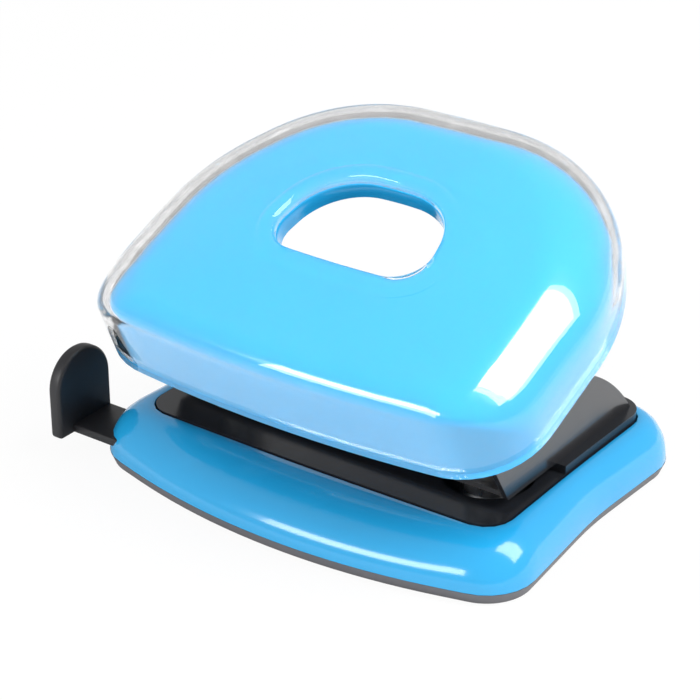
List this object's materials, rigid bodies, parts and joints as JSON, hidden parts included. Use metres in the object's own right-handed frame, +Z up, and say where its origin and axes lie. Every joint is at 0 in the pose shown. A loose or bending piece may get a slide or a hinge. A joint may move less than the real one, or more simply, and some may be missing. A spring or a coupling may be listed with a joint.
{
  "type": "hole punch",
  "caption": "Two-hole desk punch: rounded handle with a clear cover and thumb hole over a rounded base with chip tray and sliding paper guide.",
  "frame": {"origin": "centre of the chip tray's underside", "axes": "+X along the length, -Y towards the paper side, +Z up"},
  "size_m": [0.1448, 0.1062, 0.0932],
  "materials": {
    "blue_body": "glossy moulded",
    "clear_cover": "clear moulded acrylic",
    "grey_tray": "satin soft plastic",
    "guide_plastic": "satin moulded",
    "black_deck": "glossy moulded",
    "black_steel": "black lacquer",
    "bright_steel": "ground and plated",
    "bush_plastic": "natural acetal"
  },
  "bodies": {
    "base": {"base_shroud": "blue_body", "deck": "black_deck", "die_plate": "bright_steel", "throat_plate": "black_steel", "side_plate_left": "black_steel", "side_plate_right": "black_steel", "bracket_screws": "bright_steel", "hinge_shaft": "bright_steel", "shaft_clips": "bright_steel", "guide_track": "black_deck", "punch_bush_left": "bush_plastic", "punch_bush_right": "bush_plastic", "spring_left": "bright_steel", "spring_right": "bright_steel"},
    "handle": {"handle_cover": "clear_cover", "handle_shell": "blue_body", "handle_screws": "bright_steel", "lever": "black_steel", "hinge_bushes": "bush_plastic", "lever_pad_left": "bush_plastic", "lever_pad_right": "bush_plastic"},
    "punch_pin_left": {"punch_left": "bright_steel", "punch_cap_left": "bright_steel", "punch_clip_left": "bright_steel"},
    "punch_pin_right": {"punch_right": "bright_steel", "punch_cap_right": "bright_steel", "punch_clip_right": "bright_steel"},
    "tray": {"chip_tray": "grey_tray"},
    "guide": {"paper_guide": "guide_plastic"}
  },
  "joints": [
    {"name": "handle_hinge", "type": "hinge", "parent": "base", "child": "handle", "pos_m": [0, -0.023, 0.037], "axis": [-1, 0, 0], "range_deg": [0, 22], "stiffness_Nm_per_rad": 1.5, "springref_deg": -17.19},
    {"name": "punch_left_slide", "type": "slide", "parent": "base", "child": "punch_pin_left", "axis": [0, 0, -1], "range_m": [0, 0.0058], "deforming": ["spring_left"]},
    {"name": "punch_right_slide", "type": "slide", "parent": "base", "child": "punch_pin_right", "axis": [0, 0, -1], "range_m": [0, 0.0058], "deforming": ["spring_right"]},
    {"name": "tray_hinge", "type": "hinge", "parent": "base", "child": "tray", "pos_m": [0, 0.0551, 0.00305], "axis": [1, 0, 0], "range_deg": [0, 75]},
    {"name": "guide_slide", "type": "slide", "parent": "base", "child": "guide", "axis": [1, 0, 0], "range_m": [-0.0745, 0.007]}
  ],
  "couplings": [
    {"joint": "punch_left_slide", "follows": "handle_hinge", "m_per_rad": 0.015},
    {"joint": "punch_right_slide", "follows": "handle_hinge", "m_per_rad": 0.015}
  ]
}
